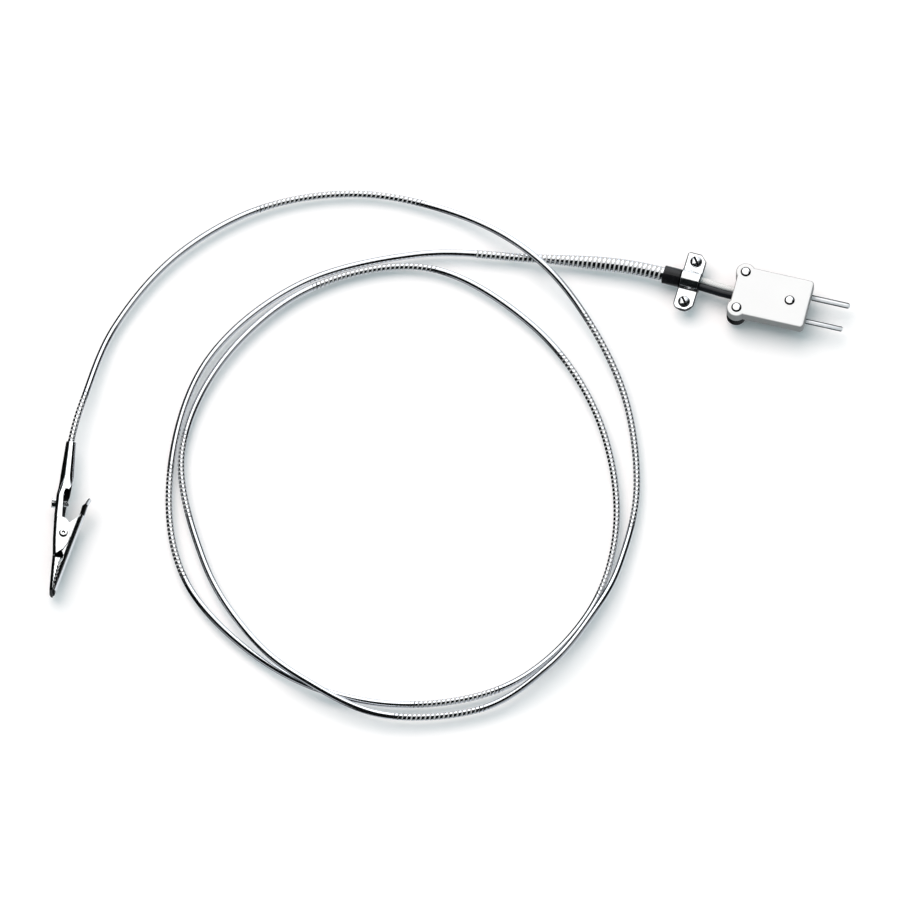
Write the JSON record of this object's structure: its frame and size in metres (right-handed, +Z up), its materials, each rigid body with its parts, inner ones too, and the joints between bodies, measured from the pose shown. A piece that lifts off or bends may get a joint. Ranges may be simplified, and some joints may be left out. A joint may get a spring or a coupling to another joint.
{
  "type": "clip probe",
  "caption": "Spring clip probe on a thin armoured hose laid in loops, with a saddle clamp and a white two-pin plug.",
  "frame": {"origin": "under the middle of the clip, on the surface it lies on", "axes": "+Y along the clip from the jaws to the hose, +Z up from the surface, +X toward the plug; the hinge turns about +Z"},
  "size_m": [0.2346, 0.1739, 0.008],
  "materials": {
    "plated_sheet": "bright nickel plate on folded steel sheet",
    "plated_steel": "bright nickel plate",
    "spring_wire": "drawn steel wire, plain",
    "sensor_alloy": "bare thermocouple wire and its weld",
    "hose_steel": "strip-wound steel, bright on the ridges",
    "black_rubber": "smooth black rubber",
    "pale_braid": "braided glass fibre, off-white",
    "dark_cover": "smooth black cover",
    "white_plastic": "satin white moulding",
    "black_plastic": "satin black moulding",
    "pin_alloy": "solid round pins, polished along their length",
    "brass": "turned brass",
    "copper": "bare conductor"
  },
  "bodies": {
    "probe": {"fixed_jaw": "plated_sheet", "pivot_rivet": "plated_steel", "jaw_spring": "spring_wire", "terminal_screw": "plated_steel", "sensor_wires": "sensor_alloy", "junction_bead": "sensor_alloy", "armour_hose": "hose_steel", "bend_relief": "hose_steel", "armour_sleeve": "black_rubber", "clamp_bush": "black_rubber", "saddle_upper": "plated_sheet", "saddle_lower": "plated_sheet", "clamp_screws": "plated_steel", "clamp_nuts": "plated_steel", "light_wire": "pale_braid", "dark_wire": "dark_cover", "plug_cover": "white_plastic", "plug_base": "black_plastic", "rear_rivets": "plated_steel", "front_rivet": "plated_steel", "thick_pin": "pin_alloy", "thin_pin": "pin_alloy", "terminal_screws": "brass", "light_conductor": "copper", "dark_conductor": "copper"},
    "lever": {"moving_jaw": "plated_sheet"}
  },
  "joints": [
    {"name": "jaw_hinge", "type": "hinge", "parent": "probe", "child": "lever", "pos_m": [-0.0011, -0.0059, 0.0038], "axis": [0, 0, 1], "range_deg": [0, 20], "stiffness_Nm_per_rad": 0.03, "springref_deg": -45.84, "deforming": ["jaw_spring"]}
  ]
}
